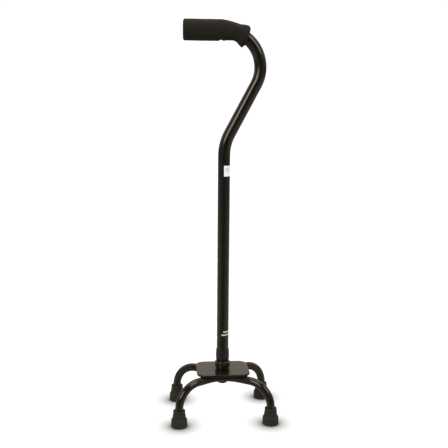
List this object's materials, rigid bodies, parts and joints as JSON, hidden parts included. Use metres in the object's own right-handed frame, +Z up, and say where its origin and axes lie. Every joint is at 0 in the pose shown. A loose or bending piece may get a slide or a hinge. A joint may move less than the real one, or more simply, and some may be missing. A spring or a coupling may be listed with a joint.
{
  "type": "quad walking cane",
  "caption": "Height-adjustable walking cane with an offset swan-neck handle, foam grip, snap-button stem, lock collar and a small four-legged base on rubber tips.",
  "frame": {"origin": "on the floor, at the middle of the four feet, on the stem's axis", "axes": "+Z up along the stem; the grip reaches towards -X; the base's long side is along X"},
  "size_m": [0.2002, 0.1562, 0.7365],
  "materials": {
    "painted_steel": "gloss black paint",
    "stem_aluminium": "gloss black paint",
    "bright_steel": "satin",
    "black_plastic": "satin",
    "tip_rubber": "matte",
    "grip_foam": "matte closed-cell foam",
    "label_paper": "smooth white film"
  },
  "bodies": {
    "base": {"base_plate": "painted_steel", "socket_boss": "painted_steel", "front_leg_tube": "painted_steel", "rear_leg_tube": "painted_steel", "rubber_tip_front_left": "tip_rubber", "rubber_tip_front_right": "tip_rubber", "rubber_tip_rear_left": "tip_rubber", "rubber_tip_rear_right": "tip_rubber", "tip_washer_front_left": "bright_steel", "tip_washer_front_right": "bright_steel", "tip_washer_rear_left": "bright_steel", "tip_washer_rear_right": "bright_steel", "lower_tube": "stem_aluminium", "lower_tube_plug": "black_plastic", "snap_spring": "bright_steel"},
    "handle": {"handle_tube": "stem_aluminium", "handle_end_plug": "black_plastic", "collar_bush": "black_plastic", "foam_grip": "grip_foam", "label": "label_paper"},
    "collar": {"lock_collar": "black_plastic"},
    "button": {"snap_button": "bright_steel"}
  },
  "joints": [
    {"name": "height_adjust", "type": "slide", "parent": "base", "child": "handle", "axis": [0, 0, 1], "range_m": [0, 0.2032], "deforming": ["snap_button", "snap_spring"]},
    {"name": "collar_turn", "type": "hinge", "parent": "handle", "child": "collar", "pos_m": [0, 0, 0.105], "axis": [0, 0, 1], "range_deg": [0, 180]},
    {"name": "button_press", "type": "slide", "parent": "base", "child": "button", "axis": [1, 0, 0], "range_m": [0, 0.0025], "stiffness_N_per_m": 600, "deforming": ["snap_spring"]}
  ]
}
